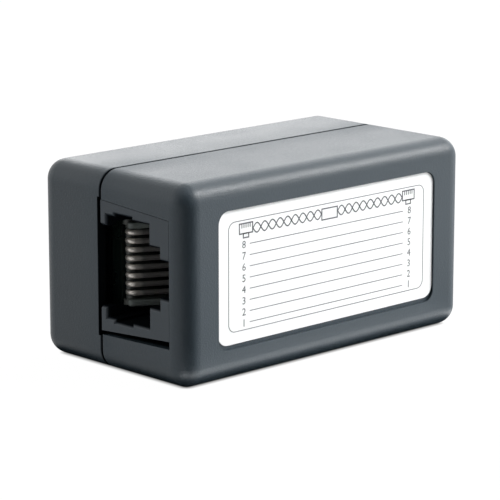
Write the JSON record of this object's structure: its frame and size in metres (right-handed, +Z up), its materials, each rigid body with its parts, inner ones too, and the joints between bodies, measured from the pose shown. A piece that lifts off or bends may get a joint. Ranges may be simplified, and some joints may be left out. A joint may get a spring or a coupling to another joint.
{
  "type": "inline coupler for modular plugs",
  "caption": "Two-part plastic case with a stepped modular socket at each end, joined inside by a small circuit board with spring contacts, and a plain wiring label on one side.",
  "frame": {"origin": "on the surface the coupler stands on, under the middle of the case", "axes": "+X from the left port to the right port, +Y from the label face to the plain back, +Z up"},
  "size_m": [0.046, 0.025, 0.0234],
  "materials": {
    "case_plastic": "fine spark-eroded texture, slate grey",
    "jack_plastic": "smooth moulded, slate grey",
    "carrier_plastic": "smooth moulded, dark grey",
    "label_film": "white film with thin grey print",
    "board_laminate": "near-black solder mask",
    "copper": "bare copper tracks",
    "solder": "bright solder",
    "contact_wire": "thin pale gold over nickel"
  },
  "bodies": {
    "root": {"front_shell": "case_plastic", "back_shell": "case_plastic", "label": "label_film", "left_jack_housing": "jack_plastic", "right_jack_housing": "jack_plastic", "left_contact_carrier": "carrier_plastic", "right_contact_carrier": "carrier_plastic", "circuit_board": "board_laminate", "board_tracks": "copper", "left_solder_joints": "solder", "right_solder_joints": "solder", "left_contact_1": "contact_wire", "right_contact_1": "contact_wire", "left_contact_2": "contact_wire", "right_contact_2": "contact_wire", "left_contact_3": "contact_wire", "right_contact_3": "contact_wire", "left_contact_4": "contact_wire", "right_contact_4": "contact_wire", "left_contact_5": "contact_wire", "right_contact_5": "contact_wire", "left_contact_6": "contact_wire", "right_contact_6": "contact_wire", "left_contact_7": "contact_wire", "right_contact_7": "contact_wire", "left_contact_8": "contact_wire", "right_contact_8": "contact_wire"}
  },
  "joints": []
}
